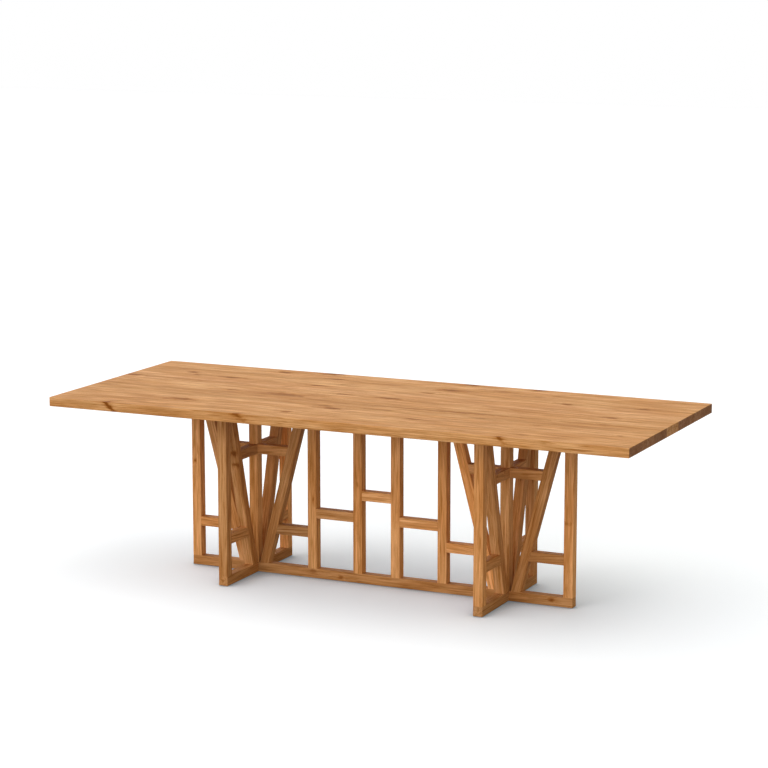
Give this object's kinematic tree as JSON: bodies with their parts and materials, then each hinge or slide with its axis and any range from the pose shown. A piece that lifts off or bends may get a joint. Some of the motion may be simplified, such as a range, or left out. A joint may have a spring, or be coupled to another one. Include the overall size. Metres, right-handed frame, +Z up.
{
  "type": "dining table",
  "caption": "Long oak dining table on a base of square bars: cross-shaped pedestals with leaning braces, joined by a ladder frame.",
  "frame": {"origin": "on the floor, under the middle of the top", "axes": "+X along the table's length, +Y from the front long side to the back one, +Z up"},
  "size_m": [2.5, 1, 0.77],
  "materials": {
    "oak_top": "oiled oak, satin",
    "oak_frame": "oiled oak, satin",
    "zinc_steel": "bright zinc",
    "felt": "dark pressed felt"
  },
  "bodies": {
    "root": {"felt_glides": "felt", "left_back_brace": "oak_frame", "left_back_high_rung": "oak_frame", "left_back_low_rung": "oak_frame", "left_back_upright": "oak_frame", "left_bay_rung": "oak_frame", "left_bay_upright": "oak_frame", "left_centre_post": "oak_frame", "left_cross_bottom_rail": "oak_frame", "left_cross_top_rail": "oak_frame", "left_front_brace": "oak_frame", "left_front_high_rung": "oak_frame", "left_front_low_rung": "oak_frame", "left_front_upright": "oak_frame", "left_inner_brace": "oak_frame", "left_inner_high_rung": "oak_frame", "left_inner_low_rung": "oak_frame", "left_inner_upright": "oak_frame", "left_outer_brace": "oak_frame", "left_outer_high_rung": "oak_frame", "left_outer_low_rung": "oak_frame", "left_outer_upright": "oak_frame", "middle_bay_rung": "oak_frame", "right_back_brace": "oak_frame", "right_back_high_rung": "oak_frame", "right_back_low_rung": "oak_frame", "right_back_upright": "oak_frame", "right_bay_rung": "oak_frame", "right_bay_upright": "oak_frame", "right_centre_post": "oak_frame", "right_cross_bottom_rail": "oak_frame", "right_cross_top_rail": "oak_frame", "right_front_brace": "oak_frame", "right_front_high_rung": "oak_frame", "right_front_low_rung": "oak_frame", "right_front_upright": "oak_frame", "right_inner_brace": "oak_frame", "right_inner_high_rung": "oak_frame", "right_inner_low_rung": "oak_frame", "right_inner_upright": "oak_frame", "right_outer_brace": "oak_frame", "right_outer_high_rung": "oak_frame", "right_outer_low_rung": "oak_frame", "right_outer_upright": "oak_frame", "spine_bottom_rail": "oak_frame", "spine_top_rail": "oak_frame", "top_board_1": "oak_top", "top_board_2": "oak_top", "top_board_3": "oak_top", "top_board_4": "oak_top", "top_board_5": "oak_top", "top_board_6": "oak_top", "top_board_7": "oak_top", "top_screw_washers": "zinc_steel", "top_screws": "zinc_steel"}
  },
  "joints": []
}
